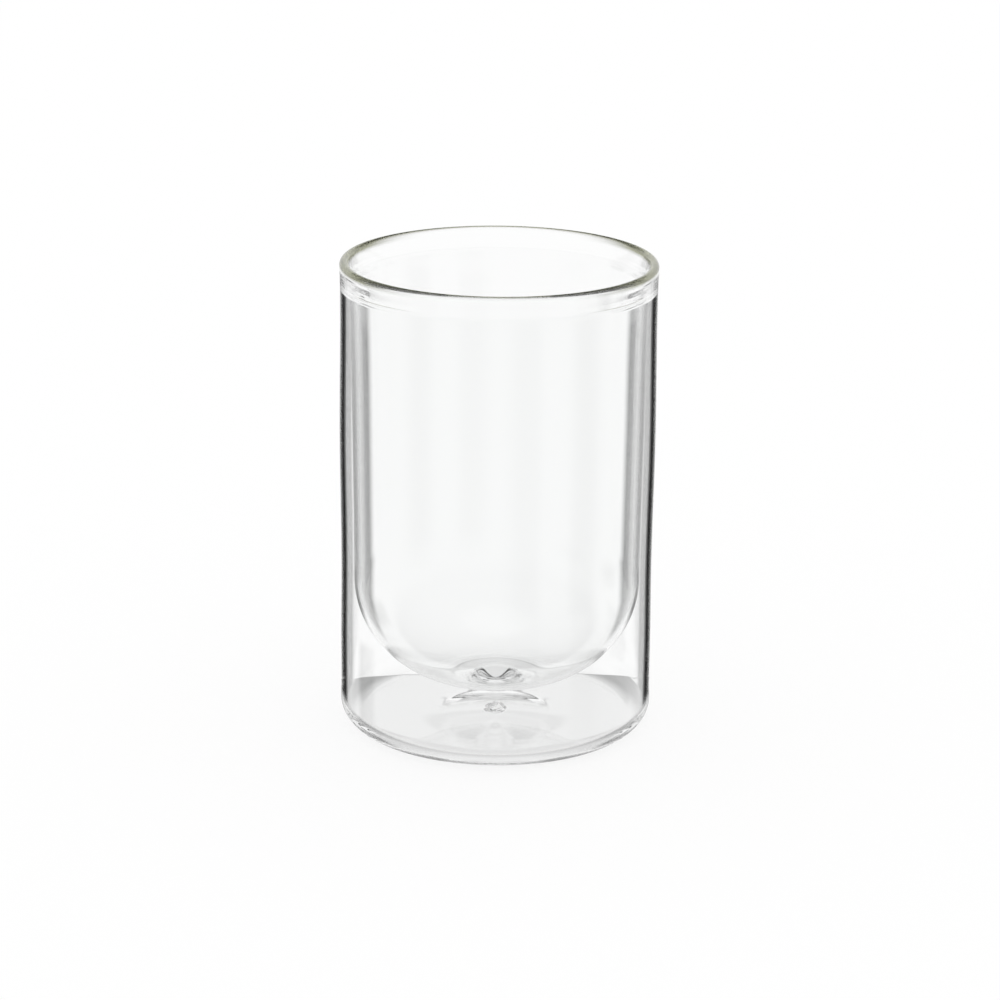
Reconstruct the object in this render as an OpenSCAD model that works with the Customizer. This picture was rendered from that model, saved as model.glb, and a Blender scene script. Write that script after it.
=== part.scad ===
// Double-walled tumbler of clear glass: a straight jacket and a round-bottomed cup, fused at the lip.
// Millimetres, +Z up, origin on the table under the middle of the base.

/* [Overall] */
// Height from the table to the top of the lip
glass_h = 121; // [112:1:135]
// Outside diameter of the straight jacket
glass_d = 80; // [76:1:88]

/* [Jacket] */
// Thickness of the jacket wall
jacket_t = 1.6; // [1.2:0.1:2]
// Thickness of the jacket base over the flat ring that it stands on
base_t = 2.2; // [1.8:0.1:3]
// Outside radius of the rounded edge between wall and base
base_round = 6; // [5:0.5:10]
// Radius of the shallow dish under the base
dish_r = 15; // [12:1:20]
// Rise of the dish in the middle
dish_rise = 0.9; // [0.5:0.1:1.2]
// Radius of the vent hole in the middle of the base
vent_r = 3; // [2:0.25:4]

/* [Cup] */
// Width of the air gap between the straight walls
gap_w = 1.7; // [1.5:0.1:2.5]
// Thickness of the cup wall
cup_t = 1.6; // [1.2:0.1:2]
// Outside radius of the rounded bottom corner
cup_round = 27.7; // [25:0.1:28.5]
// Outside radius of the wide arc under the middle of the cup
belly_round = 68.7; // [60:0.1:80]
// Radius of the low crown in the middle of the floor
crown_round = 14.9; // [10:0.1:24]
// How much lower the floor lies than one as thick as the wall
floor_sink = 0.7; // [0.2:0.1:0.9]
// Height of the lowest point of the cup above the table
cup_lift = 11; // [10:0.2:16]
// Height over which the wall flares towards the lip
flare_h = 50; // [30:1:56]
// How far the flare takes the wall outwards
flare_out = 1; // [0.5:0.1:1.1]

/* [Lip] */
// Height of the solid ring where the walls are melted together
lip_h = 7; // [5:0.5:9]
// Radius of the rounded drinking edge
lip_round = 1.2; // [0.9:0.05:1.5]
// Height of the pointed top of the air gap inside the ring
gap_rise = 1.6; // [1:0.1:2.4]

/* [Seals] */
// Height of the vent seal's drop above the base
seal_rise = 1.2; // [0.8:0.1:2]
// Depth of the vent seal's drop below the dished base
seal_drop = 0.4; // [0.2:0.1:0.4]
// Radius of the button under the cup
tip_r = 5.5; // [4:0.25:6]
// Depth of the button
tip_drop = 4.7; // [2:0.1:5]

/* [Hidden] */
$fn = 240;

// Radii of the four wall surfaces, from the outside in
jacket_r = glass_d / 2;
jacket_in_r = jacket_r - jacket_t;
cup_r = jacket_in_r - gap_w;
cup_in_r = cup_r - cup_t;

// Heights of the weld, the start of the flare and the start of the rounded edge
weld_z = glass_h - lip_h;
flare_z = weld_z - flare_h;
lip_z = glass_h - lip_round;

// The flare is one arc, upright where it starts
flare_round = (flare_h * flare_h + flare_out * flare_out) / (2 * flare_out);
cup_top_r = cup_r + flare_out;
cup_top_in_r = cup_in_r + flare_out;

// The inside of the lip leans outwards and runs into the rounded edge almost as a tangent
edge_mid_r = jacket_r - lip_round;
edge_back = edge_mid_r - cup_top_in_r;
edge_up = lip_z - weld_z;
edge_meet = 0.99 * lip_round;
edge_lean = max(0, atan2(edge_back, edge_up) - asin(edge_meet / norm([edge_back, edge_up])));
edge_meet_r = edge_mid_r - edge_meet * cos(edge_lean);
edge_meet_z = lip_z + edge_meet * sin(edge_lean);

// The cup's bottom corners have their centres at one radius, the inner one a little lower
corner_r = cup_r - cup_round;
corner_in_round = cup_round - cup_t;

// Under the cup the corner runs into a wide arc whose centre is on the axis
belly_z = cup_lift + belly_round;
corner_z = belly_z - sqrt(pow(belly_round - cup_round, 2) - corner_r * corner_r);
corner_in_z = corner_z - floor_sink;
belly_edge_r = corner_r * belly_round / (belly_round - cup_round);

// The crown's arc has its centre on the axis and touches the inner corner's arc
crown_reach = corner_in_round + crown_round;
crown_z = corner_in_z - sqrt(crown_reach * crown_reach - corner_r * corner_r);
crown_edge_r = corner_r * crown_round / crown_reach;
crown_edge_z = crown_z + (corner_in_z - crown_z) * crown_round / crown_reach;

// The dish is part of a sphere, and the base is flat inside
dish_round = (dish_r * dish_r + dish_rise * dish_rise) / (2 * dish_rise);
dish_z = dish_rise - dish_round;
base_in_round = base_round - jacket_t;

// Height of the dish at the edge of the vent hole
vent_low_z = dish_z + sqrt(dish_round * dish_round - vent_r * vent_r);

// The button is part of a sphere that cuts the cup's underside at the button's radius
tip_z = belly_z - sqrt(belly_round * belly_round - tip_r * tip_r);
tip_low_z = cup_lift - tip_drop;
tip_depth = tip_z - tip_low_z;
tip_round = (tip_r * tip_r + tip_depth * tip_depth) / (2 * tip_depth);

glass_tint = [0.84, 0.88, 0.88, 0.45];
lip_tint = [0.62, 0.66, 0.54, 0.7];

// Upright wall from the axis out to r with one rounded lower corner, between low and high
module rounded_tub(r, round, low, high) {
    square_low = low + round;
    translate([0, low]) square([r - round, high - low]);
    translate([0, square_low]) square([r, high - square_low]);
    translate([r - round, square_low]) intersection() {
        circle(round);
        translate([0, -round]) square(round);
    }
}

// Everything inside the wall of a cup surface of radius r, from low up to the weld
module flared_wall(r, low) {
    translate([0, low]) square([r, flare_z - low]);
    difference() {
        translate([0, flare_z]) square([r + flare_out, flare_h]);
        translate([r + flare_round, flare_z]) circle(flare_round, $fn = 1440);
    }
}

// Everything inside the cup's outer surface: a wide arc under the middle, the corner and the wall
module cup_body() {
    intersection() {
        translate([0, belly_z]) circle(belly_round, $fn = 1440);
        square([belly_edge_r, corner_z]);
    }
    intersection() {
        translate([corner_r, corner_z]) circle(cup_round);
        translate([belly_edge_r, 0]) square([cup_r - belly_edge_r, corner_z]);
    }
    flared_wall(cup_r, corner_z);
}

// Drinking space: the crown that stands in the middle of its floor, the corner round it and the wall
module cup_space() {
    difference() {
        translate([0, crown_edge_z]) square([crown_edge_r, corner_in_z - crown_edge_z]);
        translate([0, crown_z]) circle(crown_round);
    }
    intersection() {
        translate([corner_r, corner_in_z]) circle(corner_in_round);
        translate([crown_edge_r, 0]) square([cup_in_r - crown_edge_r, corner_in_z]);
    }
    flared_wall(cup_in_r, corner_in_z);
}

// Part of a sphere of the given base radius and height, standing on the axis, as half of its outline
module cap_outline(r, rise) {
    round = (r * r + rise * rise) / (2 * rise);
    intersection() {
        translate([0, rise - round]) circle(round);
        square([r, rise]);
    }
}

// Jacket with its dished base and vent hole
module outer_shell() {
    color(glass_tint) rotate_extrude() difference() {
        rounded_tub(jacket_r, base_round, 0, weld_z);
        rounded_tub(jacket_in_r, base_in_round, base_t, weld_z + 1);
        translate([0, dish_z]) circle(dish_round, $fn = 1440);
        square([vent_r, base_t + 1]);
    }
}

// Drinking vessel
module inner_cup() {
    color(glass_tint) rotate_extrude() difference() {
        cup_body();
        cup_space();
    }
}

// Melted ring that carries the drinking edge and closes the air gap with a pointed arch
module lip_weld() {
    gap_half = (jacket_in_r - cup_top_r) / 2;
    gap_arch = (gap_half * gap_half + gap_rise * gap_rise) / (2 * gap_half);
    color(lip_tint) rotate_extrude() {
        difference() {
            polygon([
                [cup_top_in_r, weld_z],
                [jacket_r, weld_z],
                [jacket_r, lip_z],
                [edge_meet_r, edge_meet_z]
            ]);
            intersection() {
                translate([cup_top_r + gap_arch, weld_z]) circle(gap_arch);
                translate([jacket_in_r - gap_arch, weld_z]) circle(gap_arch);
            }
        }
        translate([edge_mid_r, lip_z]) intersection() {
            circle(lip_round);
            translate([-lip_round, 0]) square([2 * lip_round, lip_round]);
        }
    }
}

// Drop of glass that closes the vent hole
module vent_seal() {
    color(glass_tint) rotate_extrude() {
        translate([0, vent_low_z]) square([vent_r, base_t - vent_low_z]);
        translate([0, base_t]) cap_outline(vent_r, seal_rise);
        translate([0, vent_low_z]) mirror([0, 1]) cap_outline(vent_r, seal_drop);
    }
}

// Button left under the cup's floor
module cup_tip() {
    color(glass_tint) rotate_extrude() difference() {
        translate([0, tip_low_z]) intersection() {
            translate([0, tip_round]) circle(tip_round);
            square([tip_round, 2 * tip_round]);
        }
        translate([0, belly_z]) circle(belly_round, $fn = 1440);
    }
}

outer_shell();
inner_cup();
lip_weld();
vent_seal();
cup_tip();
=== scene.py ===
"""Double-walled tumbler of clear glass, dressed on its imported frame.

Every piece is an outline in the plane of radius and height, turned about the axis of the glass.
"""
import math

import bpy
import numpy as np
from mathutils import Matrix, Vector


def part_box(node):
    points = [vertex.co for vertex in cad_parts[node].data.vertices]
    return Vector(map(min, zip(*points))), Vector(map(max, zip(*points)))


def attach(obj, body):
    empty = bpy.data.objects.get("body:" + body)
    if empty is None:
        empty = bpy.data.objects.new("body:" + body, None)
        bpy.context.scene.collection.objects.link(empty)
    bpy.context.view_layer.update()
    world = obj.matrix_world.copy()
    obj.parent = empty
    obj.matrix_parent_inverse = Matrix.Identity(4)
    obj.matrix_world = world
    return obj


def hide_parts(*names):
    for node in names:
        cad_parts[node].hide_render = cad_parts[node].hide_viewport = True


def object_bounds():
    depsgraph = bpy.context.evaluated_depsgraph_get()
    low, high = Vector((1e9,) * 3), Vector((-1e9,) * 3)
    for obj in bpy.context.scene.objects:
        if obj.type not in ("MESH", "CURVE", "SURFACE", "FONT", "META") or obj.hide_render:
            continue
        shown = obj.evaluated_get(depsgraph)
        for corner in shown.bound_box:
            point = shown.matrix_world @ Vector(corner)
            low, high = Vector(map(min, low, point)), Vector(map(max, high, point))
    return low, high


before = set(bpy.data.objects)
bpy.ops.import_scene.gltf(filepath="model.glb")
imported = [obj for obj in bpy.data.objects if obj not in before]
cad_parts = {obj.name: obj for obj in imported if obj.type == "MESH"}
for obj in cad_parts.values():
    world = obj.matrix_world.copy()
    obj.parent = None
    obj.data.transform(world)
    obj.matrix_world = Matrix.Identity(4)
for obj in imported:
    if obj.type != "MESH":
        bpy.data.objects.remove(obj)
cad_low, cad_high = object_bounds()

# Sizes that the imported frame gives, in metres
MM = 0.001
jacket_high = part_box("outer_shell")[1]
cup_low, cup_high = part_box("inner_cup")
lip_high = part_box("lip_weld")[1]
seal_low, seal_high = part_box("vent_seal")
tip_low, tip_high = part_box("cup_tip")
JACKET_R = jacket_high.x
WELD_Z = jacket_high.z
GLASS_H = lip_high.z
CUP_TOP_R = cup_high.x
CUP_LIFT = cup_low.z
VENT_R = seal_high.x
SEAL_LOW_Z = seal_low.z
SEAL_TOP_Z = seal_high.z
TIP_R = tip_high.x
TIP_DROP = CUP_LIFT - tip_low.z

# Wall sizes, as in the part's source, and the lean of the lip's inside, rounded
JACKET_T = 1.6 * MM
BASE_T = 2.2 * MM
BASE_ROUND = 6 * MM
DISH_R = 15 * MM
DISH_RISE = 0.9 * MM
CUP_T = 1.6 * MM
CUP_ROUND = 27.7 * MM
BELLY_ROUND = 68.7 * MM
CROWN_ROUND = 14.9 * MM
FLOOR_SINK = 0.7 * MM
FLARE_H = 50 * MM
FLARE_OUT = 1 * MM
LIP_ROUND = 1.2 * MM
LIP_LEAN_DEG = 14.3
GAP_RISE = 1.6 * MM

# Sizes worked out from those
JACKET_IN_R = JACKET_R - JACKET_T
BASE_IN_ROUND = BASE_ROUND - JACKET_T
CUP_R = CUP_TOP_R - FLARE_OUT
CUP_IN_R = CUP_R - CUP_T
CUP_TOP_IN_R = CUP_TOP_R - CUP_T
CORNER_R = CUP_R - CUP_ROUND
FLARE_Z = WELD_Z - FLARE_H
FLARE_ROUND = (FLARE_H**2 + FLARE_OUT**2) / (2 * FLARE_OUT)
FLARE_DEG = math.degrees(math.asin(FLARE_H / FLARE_ROUND))
BELLY_REACH = BELLY_ROUND - CUP_ROUND
BELLY_DEG = math.degrees(math.asin(CORNER_R / BELLY_REACH))
BELLY_Z = CUP_LIFT + BELLY_ROUND
CORNER_Z = BELLY_Z - BELLY_REACH * math.cos(math.radians(BELLY_DEG))
CORNER_IN_ROUND = CUP_ROUND - CUP_T
CROWN_REACH = CORNER_IN_ROUND + CROWN_ROUND
CROWN_DEG = math.degrees(math.asin(CORNER_R / CROWN_REACH))
CORNER_IN_Z = CORNER_Z - FLOOR_SINK
CROWN_Z = CORNER_IN_Z - CROWN_REACH * math.cos(math.radians(CROWN_DEG))
DISH_ROUND = (DISH_R**2 + DISH_RISE**2) / (2 * DISH_RISE)
DISH_Z = DISH_RISE - DISH_ROUND
VENT_LOW_Z = DISH_Z + math.sqrt(DISH_ROUND**2 - VENT_R**2)
LIP_Z = GLASS_H - LIP_ROUND
TIP_DEG = math.degrees(math.asin(TIP_R / BELLY_ROUND))

# Hand-blown unevenness: the walls swell and draw in a little along the height
SWELL = 0.0035
SWELL_TOP = 76 * MM
SWELL_LENGTH = 66 * MM
SWELL_FROM, SWELL_FULL = 8 * MM, 40 * MM

# The cup hangs off centre, fully so from this height down
CUP_WANDER = 0.12 * MM
WANDER_FULL = 76 * MM

# The drop in the vent hole has twisted ripples
SEAL_RIPPLE = 1.4 * MM
RIPPLE_TURNS = 3
RIPPLE_TWIST = 9

# Steps of a full turn, the angle from which an edge stays sharp, and what still counts as on the axis
TURNS = 256
SHARP_DEG = 35
ON_AXIS = 0.001 * MM


def line(start, end, count=2):
    """Straight run of count points from start to end."""
    return np.linspace(start, end, count)


def arc(centre, radius, start_deg, end_deg, count):
    """Round run: centre plus radius times (cos a, sin a), with a going evenly from start to end."""
    a = np.radians(np.linspace(start_deg, end_deg, count))
    return np.asarray(centre) + radius * np.stack([np.cos(a), np.sin(a)], axis=-1)


def cap_angle(radius, rise):
    """Radius of the sphere that a cap of this base radius and rise is cut from, and its half angle."""
    sphere = (radius**2 + rise**2) / (2 * rise)
    return sphere, math.degrees(math.asin(radius / sphere))


def smooth(z, start, end):
    """Smooth step: 0 at start, 1 at end, 3 u squared minus 2 u cubed between them."""
    u = np.clip((z - start) / (end - start), 0, 1)
    return u * u * (3 - 2 * u)


def swell(z):
    """Share of the full radius at height z: a slow cosine along the height that fades out at the base."""
    wave = np.cos(2 * np.pi * (z - SWELL_TOP) / SWELL_LENGTH)
    return 1 + SWELL * (wave * smooth(z, SWELL_FROM, SWELL_FULL) - 1)


def make_piece(name, vertices, faces, finish, materials):
    """Object with a smooth mesh of these vertices and arrays of faces, and a material number per face."""
    corners = np.concatenate([group.ravel() for group in faces])
    sizes = np.concatenate([np.full(len(group), group.shape[1]) for group in faces])
    mesh = bpy.data.meshes.new(name)
    mesh.vertices.add(len(vertices))
    mesh.vertices.foreach_set("co", vertices.ravel())
    mesh.loops.add(len(corners))
    mesh.loops.foreach_set("vertex_index", corners)
    mesh.polygons.add(len(sizes))
    mesh.polygons.foreach_set("loop_start", np.cumsum(sizes) - sizes)
    for material in materials:
        mesh.materials.append(material)
    mesh.polygons.foreach_set("material_index", finish)
    mesh.polygons.foreach_set("use_smooth", np.ones(len(sizes), bool))
    mesh.update(calc_edges=True)
    mesh.validate()
    mesh.set_sharp_from_angle(angle=math.radians(SHARP_DEG))
    piece = bpy.data.objects.new(name, mesh)
    bpy.context.collection.objects.link(piece)
    return piece


def turned(name, runs, materials, wander=0.0, ripple=0.0):
    """Joins runs of (radius, height) points end to end and turns them about the axis.

    A point (r, z) at angle t lands on (s cos t + w, s sin t, z + h). Here s is r times the swell at z, and
    w is the wander, which grows from nothing at the weld to its full size further down. With q for s as a
    share of the largest s, h is the ripple times q (1 - q) times the sine of (turns times t plus twist
    times q). The runs go round the glass with the glass on their left, so that the faces point outwards.
    Each run is (points, material number). An outline that starts and ends on the axis is closed by two
    poles, and any other by joining its ends.
    """
    first_point = runs[0][0][:1]
    points = np.concatenate([first_point] + [run[1:] for run, _ in runs])
    finish = np.concatenate([np.full(len(run) - 1, number) for run, number in runs])
    poled = points[0, 0] < ON_AXIS
    ring = points[1:-1] if poled else points[:-1]
    count = len(ring)

    t = np.arange(TURNS) * 2 * np.pi / TURNS
    z = ring[:, 1:]
    r = ring[:, :1] * swell(z)
    x = r * np.cos(t) + wander * smooth(z, WELD_Z, WANDER_FULL)
    share = r / r.max()
    z = z + ripple * share * (1 - share) * np.sin(RIPPLE_TURNS * t + RIPPLE_TWIST * share)
    vertices = np.stack([x, r * np.sin(t), z], axis=-1).reshape(-1, 3)

    turn = np.arange(TURNS)
    beside = (turn + 1) % TURNS
    step = np.arange(count - 1 if poled else count)[:, None]
    low = step * TURNS
    high = (step + 1) % count * TURNS
    quads = np.stack([low + turn, low + beside, high + beside, high + turn], axis=-1).reshape(-1, 4)
    if not poled:
        return make_piece(name, vertices, [quads], np.repeat(finish, TURNS), materials)

    bottom, top = len(vertices), len(vertices) + 1
    poles = [[wander, 0, points[0, 1]], [wander, 0, points[-1, 1]]]
    vertices = np.concatenate([vertices, poles])
    last = (count - 1) * TURNS
    under = np.stack([np.full(TURNS, bottom), beside, turn], axis=-1)
    over = np.stack([np.full(TURNS, top), last + turn, last + beside], axis=-1)
    finish = np.concatenate([finish[1:-1], finish[:1], finish[-1:]])
    return make_piece(name, vertices, [quads, under, over], np.repeat(finish, TURNS), materials)


def node_maker(owner):
    """Empties the node tree of a material or world, and gives a function that adds a node to it.

    An input that is another node's socket is linked, and any other value is set on the socket itself.
    """
    owner.use_nodes = True
    tree = owner.node_tree
    tree.nodes.clear()

    def add(kind, inputs=None, **settings):
        node = tree.nodes.new(kind)
        for key, value in settings.items():
            setattr(node, key, value)
        for key, value in (inputs or {}).items():
            if isinstance(value, bpy.types.NodeSocket):
                tree.links.new(value, node.inputs[key])
            else:
                node.inputs[key].default_value = value
        return node

    return add


def calculate(add, operation, *values):
    """Number that a Math node works out from its values in turn."""
    return add("ShaderNodeMath", dict(enumerate(values)), operation=operation).outputs[0]


def calculate_vector(add, operation, *values):
    """Vector Math node on its values in turn."""
    return add("ShaderNodeVectorMath", dict(enumerate(values)), operation=operation)


def rising(add, value, start, end, form="LINEAR"):
    """0 where the value is at start, 1 where it is at end, and straight or smooth between them."""
    inputs = {"Value": value, "From Min": start, "From Max": end}
    return add("ShaderNodeMapRange", inputs, interpolation_type=form).outputs[0]


def between(add, share, first, second):
    """Number that goes from first to second as the share goes from 0 to 1."""
    return add("ShaderNodeMix", {"Factor": share, "A": first, "B": second}, data_type="FLOAT").outputs[0]


def mix_shaders(add, share, first, second):
    """Shader that goes from first to second as the share goes from 0 to 1."""
    return add("ShaderNodeMixShader", {0: share, 1: first, 2: second}).outputs[0]


# Finish of the glass; the lip is olive where its edge is seen edge-on
WHITE = (1, 1, 1, 1)
GLASS_IOR = 1.47
CLEAR_TINT = (0.985, 0.987, 0.986, 1)
MIRROR_TINT = (0.2, 0.2, 0.2, 1)
THICK_TINT = (0.16, 0.165, 0.09, 1)
THICK_FROM, THICK_FULL = 0.1, 0.5
EDGE_FROM, EDGE_FULL = GLASS_H - 1.9 * MM, GLASS_H - 1.0 * MM

# A Mix node has sockets for each kind of data, and these are the numbers of those for colours
MIX_FIRST, MIX_SECOND, MIX_RESULT = 6, 7, 2


def lip_tint(add):
    """Tint of the lip: olive where light runs a long way through it, which is at the ring's two ends.

    The olive's share is a smooth step of how edge-on the surface is seen, times a ramp up to the edge.
    """
    facing = add("ShaderNodeLayerWeight", {"Blend": 0.5}).outputs["Facing"]
    edge_on = rising(add, facing, THICK_FROM, THICK_FULL, "SMOOTHSTEP")
    place = add("ShaderNodeTexCoord").outputs["Object"]
    height = add("ShaderNodeSeparateXYZ", {0: place}).outputs["Z"]
    at_edge = rising(add, height, EDGE_FROM, EDGE_FULL)
    inputs = {
        "Factor": calculate(add, "MULTIPLY", edge_on, at_edge),
        MIX_FIRST: CLEAR_TINT,
        MIX_SECOND: THICK_TINT,
    }
    return add("ShaderNodeMix", inputs, data_type="RGBA").outputs[MIX_RESULT]


def blown_glass(name, tint=None):
    """Blown glass: smooth and refracting, faintly tinted all over or with the tint that a function adds."""
    material = bpy.data.materials.new(name)
    add = node_maker(material)
    inputs = {
        "Base Color": tint(add) if tint else CLEAR_TINT,
        "Roughness": 0.0,
        "IOR": GLASS_IOR,
        "Transmission Weight": 1.0,
        "Specular Tint": MIRROR_TINT,
    }
    shader = add("ShaderNodeBsdfPrincipled", inputs)
    add("ShaderNodeOutputMaterial", {"Surface": shader.outputs[0]})
    return material


def fused():
    """Faces inside a melted joint, which light crosses as if they weren't there."""
    material = bpy.data.materials.new("fused_joint")
    add = node_maker(material)
    shader = add("ShaderNodeBsdfTransparent", {"Color": WHITE})
    add("ShaderNodeOutputMaterial", {"Surface": shader.outputs[0]})
    return material


clear_glass = blown_glass("clear_glass")
lip_glass = blown_glass("lip_glass", lip_tint)
fused_joint = fused()
CLEAR, FUSED = 0, 1


def jacket():
    """Straight outer wall with a rounded base edge, a dished base and a vent hole."""
    vent_deg = math.degrees(math.acos(VENT_R / DISH_ROUND))
    dish_deg = math.degrees(math.acos(DISH_R / DISH_ROUND))
    edge_r = JACKET_R - BASE_ROUND
    edge_in_z = BASE_T + BASE_IN_ROUND
    runs = [
        (arc((0, DISH_Z), DISH_ROUND, vent_deg, dish_deg, count=12), CLEAR),
        (line((DISH_R, 0), (edge_r, 0), count=4), CLEAR),
        (arc((edge_r, BASE_ROUND), BASE_ROUND, -90, 0, count=32), CLEAR),
        (line((JACKET_R, BASE_ROUND), (JACKET_R, WELD_Z), count=90), CLEAR),
        (line((JACKET_R, WELD_Z), (JACKET_IN_R, WELD_Z)), FUSED),
        (line((JACKET_IN_R, WELD_Z), (JACKET_IN_R, edge_in_z), count=90), CLEAR),
        (arc((edge_r, edge_in_z), BASE_IN_ROUND, 0, -90, count=32), CLEAR),
        (line((edge_r, BASE_T), (VENT_R, BASE_T), count=16), CLEAR),
        (line((VENT_R, BASE_T), (VENT_R, VENT_LOW_Z)), FUSED),
    ]
    return turned("jacket", runs, [clear_glass, fused_joint])


def cup():
    """Drinking vessel: round-bottomed, with a low crown in its floor, flaring a little to the lip."""
    runs = [
        (arc((0, BELLY_Z), BELLY_ROUND, -90, -90 + TIP_DEG, count=6), FUSED),
        (arc((0, BELLY_Z), BELLY_ROUND, -90 + TIP_DEG, -90 + BELLY_DEG, count=12), CLEAR),
        (arc((CORNER_R, CORNER_Z), CUP_ROUND, -90 + BELLY_DEG, 0, count=64), CLEAR),
        (line((CUP_R, CORNER_Z), (CUP_R, FLARE_Z), count=40), CLEAR),
        (arc((CUP_R + FLARE_ROUND, FLARE_Z), FLARE_ROUND, 180, 180 - FLARE_DEG, count=60), CLEAR),
        (line((CUP_TOP_R, WELD_Z), (CUP_TOP_IN_R, WELD_Z)), FUSED),
        (arc((CUP_IN_R + FLARE_ROUND, FLARE_Z), FLARE_ROUND, 180 - FLARE_DEG, 180, count=60), CLEAR),
        (line((CUP_IN_R, FLARE_Z), (CUP_IN_R, CORNER_IN_Z), count=40), CLEAR),
        (arc((CORNER_R, CORNER_IN_Z), CORNER_IN_ROUND, 0, -90 - CROWN_DEG, count=72), CLEAR),
        (arc((0, CROWN_Z), CROWN_ROUND, 90 - CROWN_DEG, 90, count=16), CLEAR),
    ]
    return turned("cup", runs, [clear_glass, fused_joint], wander=CUP_WANDER)


def lip():
    """Melted ring: the pointed top of the air gap below, a rounded drinking edge above, a leaning inside."""
    gap_half = (JACKET_IN_R - CUP_TOP_R) / 2
    gap_arch = (gap_half**2 + GAP_RISE**2) / (2 * gap_half)
    gap_deg = math.degrees(math.asin(GAP_RISE / gap_arch))
    edge = arc((JACKET_R - LIP_ROUND, LIP_Z), LIP_ROUND, 0, 180 - LIP_LEAN_DEG, count=40)
    runs = [
        (line((CUP_TOP_IN_R, WELD_Z), (CUP_TOP_R, WELD_Z)), FUSED),
        (arc((CUP_TOP_R + gap_arch, WELD_Z), gap_arch, 180, 180 - gap_deg, count=12), CLEAR),
        (arc((JACKET_IN_R - gap_arch, WELD_Z), gap_arch, gap_deg, 0, count=12), CLEAR),
        (line((JACKET_IN_R, WELD_Z), (JACKET_R, WELD_Z)), FUSED),
        (line((JACKET_R, WELD_Z), (JACKET_R, LIP_Z), count=6), CLEAR),
        (edge, CLEAR),
        (line(edge[-1], (CUP_TOP_IN_R, WELD_Z), count=8), CLEAR),
    ]
    return turned("lip", runs, [lip_glass, fused_joint])


def vent_drop():
    """Drop of glass in the vent hole: a cap above, the hole's wall, and a flatter cap below, all rippled."""
    under, under_deg = cap_angle(VENT_R, VENT_LOW_Z - SEAL_LOW_Z)
    over, over_deg = cap_angle(VENT_R, SEAL_TOP_Z - BASE_T)
    runs = [
        (arc((0, SEAL_LOW_Z + under), under, -90, -90 + under_deg, count=12), CLEAR),
        (line((VENT_R, VENT_LOW_Z), (VENT_R, BASE_T)), FUSED),
        (arc((0, SEAL_TOP_Z - over), over, 90 - over_deg, 90, count=16), CLEAR),
    ]
    return turned("vent_drop", runs, [clear_glass, fused_joint], ripple=SEAL_RIPPLE)


def tip_button():
    """Button under the cup: a bell that hangs below the cup's round underside.

    At radius r it hangs by its depth times (1 + cos of pi r over the button's radius) over 2.
    """
    r = np.linspace(0, TIP_R, num=32)
    belly = BELLY_Z - np.sqrt(BELLY_ROUND**2 - r**2)
    hang = TIP_DROP * (1 + np.cos(np.pi * r / TIP_R)) / 2
    runs = [
        (np.stack([r, belly - hang], axis=-1), CLEAR),
        (arc((0, BELLY_Z), BELLY_ROUND, -90 + TIP_DEG, -90, count=6), FUSED),
    ]
    return turned("tip_button", runs, [clear_glass, fused_joint], wander=CUP_WANDER)


PIECES = [
    (jacket, "outer_shell", "clear_glass"),
    (cup, "inner_cup", "clear_glass"),
    (lip, "lip_weld", "lip_glass"),
    (vent_drop, "vent_seal", "clear_glass"),
    (tip_button, "cup_tip", "clear_glass"),
]
for make, node, slot in PIECES:
    piece = make()
    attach(piece, "root")
    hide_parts(node)

# Camera at the photograph's viewing angle: distance, elevation and roll fitted to the outline
IMAGE_PX = 1000
SENSOR_MM = 36
CAMERA_M = 0.816
ELEVATION_DEG = 17.456
ROLL_DEG = 0.574
PX_PER_M = 3935
AIM_RIGHT_PX = 2.9
AIM_DOWN_PX = 7.91


def add_camera():
    """Perspective camera that looks along +Y and down, aimed a little off the middle of the glass."""
    elevation = math.radians(ELEVATION_DEG)
    back = Vector((0, -math.cos(elevation), math.sin(elevation)))
    right = Vector((1, 0, 0))
    up = back.cross(right)
    middle = (cad_low + cad_high) / 2
    roll = Matrix.Rotation(math.radians(ROLL_DEG), 3, back)
    turn = roll @ Matrix((right, up, back)).transposed()
    aim = middle + turn @ Vector((AIM_RIGHT_PX, -AIM_DOWN_PX, 0)) / PX_PER_M
    data = bpy.data.cameras.new("camera")
    data.sensor_width = SENSOR_MM
    data.lens = SENSOR_MM * CAMERA_M * PX_PER_M / IMAGE_PX
    camera = bpy.data.objects.new("camera", data)
    camera.matrix_world = Matrix.Translation(aim + back * CAMERA_M) @ turn.to_4x4()
    bpy.context.collection.objects.link(camera)
    bpy.context.scene.camera = camera


# Tones of the studio's cards, as (degrees to either side of the card's azimuth, tone)
DARK_CARD = ((0, 1.0), (11.5, 1.0), (14, 0.02), (31, 0.02), (34, 1.0))
GREY_CARD = ((0, 1.0), (31, 1.0), (34, 0.6), (38, 0.6), (40.5, 1.0))
SIDE_CARD = ((0, 0.02), (8.5, 0.02), (11, 1.0))
DARK_SKY = ((0, 0.05), (180, 0.05))

# Cards, as (azimuth, lowest and highest elevation, tones), in degrees, and the width of their soft edges
CARDS = (
    (90, -22.0, -13.7, DARK_CARD),
    (90, -20.6, -13.7, GREY_CARD),
    (157.5, -30.5, -19.7, SIDE_CARD),
    (180, -8.0, 2.5, DARK_CARD),
    (180, -8.0, 2.5, GREY_CARD),
    (315, -20.5, -9.5, DARK_CARD),
    (315, -20.5, -9.5, GREY_CARD),
    (90, 25, 70, DARK_SKY),
)
FADE_LOW_DEG, FADE_HIGH_DEG = 3.0, 0.3
HALF_TURN_DEG = 180


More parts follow.
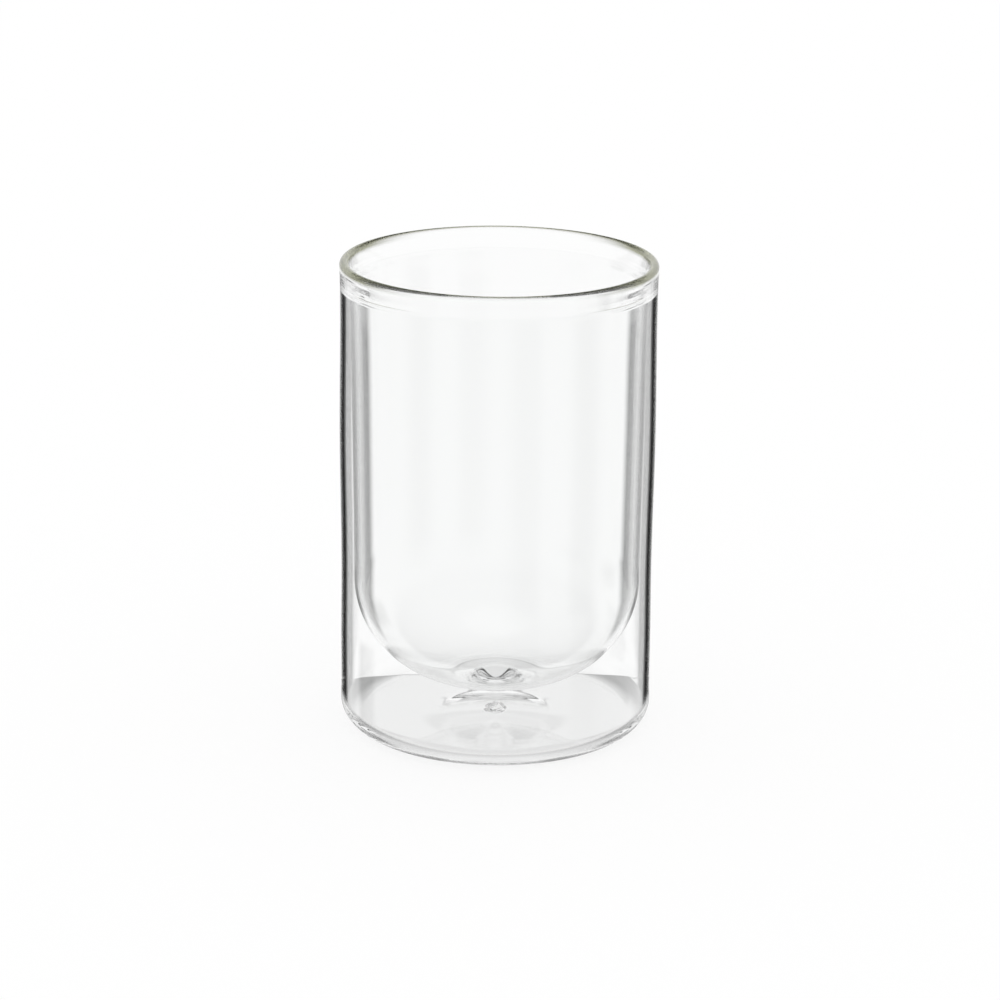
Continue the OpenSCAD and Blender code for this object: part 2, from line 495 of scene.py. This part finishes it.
def through_glass(add):
    """1 for a ray that came through or off the glass, and 0 for the camera's own rays and the floor's."""
    path = add("ShaderNodeLightPath").outputs
    bent = calculate(add, "MAXIMUM", path["Is Transmission Ray"], path["Is Glossy Ray"])
    direct = calculate(add, "LESS_THAN", path["Diffuse Depth"], 1)
    return calculate(add, "MULTIPLY", bent, direct)


def level_axis(azimuth):
    """Level unit vector at an azimuth in degrees."""
    return (math.cos(math.radians(azimuth)), math.sin(math.radians(azimuth)), 0)


def card_tone(add, heading, rise, card):
    """Tone of a card, by the angle of a ray's level heading to its azimuth, and white above and below it."""
    azimuth, low, high, tones = card
    along = calculate_vector(add, "DOT_PRODUCT", heading, level_axis(azimuth)).outputs["Value"]
    angle = calculate(add, "ARCCOSINE", along)
    shades = add("ShaderNodeValToRGB", {0: calculate(add, "DIVIDE", angle, math.pi)})
    stops = shades.color_ramp.elements
    stops.remove(stops[1])
    for number, (degrees, tone) in enumerate(tones):
        position = degrees / HALF_TURN_DEG
        stop = stops[0] if number == 0 else stops.new(position)
        stop.position = position
        stop.color = (tone, tone, tone, 1)
    above = rising(add, rise, low - FADE_LOW_DEG, low)
    below = rising(add, rise, high + FADE_HIGH_DEG, high)
    return between(add, calculate(add, "MULTIPLY", above, below), 1.0, shades.outputs["Color"])


def add_world():
    """White studio; what the glass refracts or mirrors of it has all the cards' tones, multiplied."""
    world = bpy.data.worlds.new("studio")
    bpy.context.scene.world = world
    add = node_maker(world)
    way = add("ShaderNodeTexCoord").outputs["Generated"]
    height = add("ShaderNodeSeparateXYZ", {0: way}).outputs["Z"]
    rise = calculate(add, "DEGREES", calculate(add, "ARCSINE", height))
    level = calculate_vector(add, "MULTIPLY", way, (1, 1, 0)).outputs[0]
    heading = calculate_vector(add, "NORMALIZE", level).outputs[0]
    tone = 1.0
    for card in CARDS:
        tone = calculate(add, "MULTIPLY", tone, card_tone(add, heading, rise, card))
    strength = between(add, through_glass(add), 1.0, tone)
    light = add("ShaderNodeBackground", {"Color": WHITE, "Strength": strength})
    add("ShaderNodeOutputWorld", {"Surface": light.outputs[0]})


# Floor, and how strongly it keeps the shadow of the glass
FLOOR_R = 4.0
FLOOR_SIDES = 128
FLOOR_Z = -0.2 * MM
FLOOR_SHADE = 0.12

# Stand that only the glass shows: round, with a straight back edge that faces this azimuth
STAND_R = 48 * MM
STAND_AZIMUTH = 92.5
STAND_EDGE = 27 * MM
STAND_TONE = 0.85

# Thin dark line along the back edge, and how far from the axis it ends
STAND_LINE = 0.8 * MM
STAND_LINE_TONE = 0.6
LINE_R = 58 * MM

# Painted shade on the stand round the foot of the glass: a contact shadow set into the stand's tone
SHADE_FROM, SHADE_FULL = 35 * MM, 41 * MM
PAINTED_FOOT_SHADE_TONE = 0.45


def stand(add):
    """Stand as the glass shows it: grey, darker at its back edge, with painted shade outside the foot, and
    clear past it.
    """
    place = add("ShaderNodeTexCoord").outputs["Object"]
    depth = calculate_vector(add, "DOT_PRODUCT", place, level_axis(STAND_AZIMUTH)).outputs["Value"]
    away = calculate_vector(add, "LENGTH", place).outputs["Value"]
    on_line = calculate(add, "GREATER_THAN", depth, STAND_EDGE - STAND_LINE)
    reach = calculate(add, "MULTIPLY_ADD", on_line, LINE_R - STAND_R, STAND_R)
    behind = calculate(add, "GREATER_THAN", depth, STAND_EDGE)
    outside = calculate(add, "GREATER_THAN", away, reach)
    past = calculate(add, "MAXIMUM", behind, outside)
    tone = between(add, on_line, STAND_TONE, STAND_LINE_TONE)
    # Painted shade: the stand's tone darkens from the foot's shade radius outwards, as a contact shadow
    # would
    shaded = rising(add, away, SHADE_FROM, SHADE_FULL, "SMOOTHSTEP")
    tone = between(add, shaded, tone, PAINTED_FOOT_SHADE_TONE)
    grey = add("ShaderNodeEmission", {"Color": WHITE, "Strength": tone}).outputs[0]
    clear = add("ShaderNodeBsdfTransparent", {"Color": WHITE}).outputs[0]
    return mix_shaders(add, past, grey, clear)


def pale_floor():
    """White floor with a faint shadow, which the glass shows as the stand with the studio past it."""
    material = bpy.data.materials.new("pale_floor")
    add = node_maker(material)
    matt = add("ShaderNodeBsdfDiffuse", {"Color": WHITE}).outputs[0]
    white = add("ShaderNodeEmission", {"Color": WHITE, "Strength": 1.0}).outputs[0]
    camera = add("ShaderNodeLightPath").outputs["Is Camera Ray"]
    lift = calculate(add, "MULTIPLY", camera, 1 - FLOOR_SHADE)
    seen = mix_shaders(add, lift, matt, white)
    surface = mix_shaders(add, through_glass(add), seen, stand(add))
    add("ShaderNodeOutputMaterial", {"Surface": surface})
    return material


def add_floor():
    """Round floor: one flat face with its corners at equal angles on a circle."""
    t = np.arange(FLOOR_SIDES) * 2 * np.pi / FLOOR_SIDES
    rim = np.stack([FLOOR_R * np.cos(t), FLOOR_R * np.sin(t), np.full(FLOOR_SIDES, FLOOR_Z)], axis=-1)
    mesh = bpy.data.meshes.new("floor")
    mesh.from_pydata(rim.tolist(), [], [list(range(FLOOR_SIDES))])
    mesh.materials.append(pale_floor())
    floor = bpy.data.objects.new("floor", mesh)
    bpy.context.collection.objects.link(floor)


# Light that runs up inside a wall is mirrored many times before it gets out
GUIDED_BOUNCES = 400

add_camera()
add_world()
add_floor()

scene = bpy.context.scene
scene.view_settings.view_transform = "Standard"
scene.cycles.max_bounces = GUIDED_BOUNCES
scene.cycles.transmission_bounces = GUIDED_BOUNCES
scene.cycles.glossy_bounces = GUIDED_BOUNCES
scene.cycles.transparent_max_bounces = GUIDED_BOUNCES
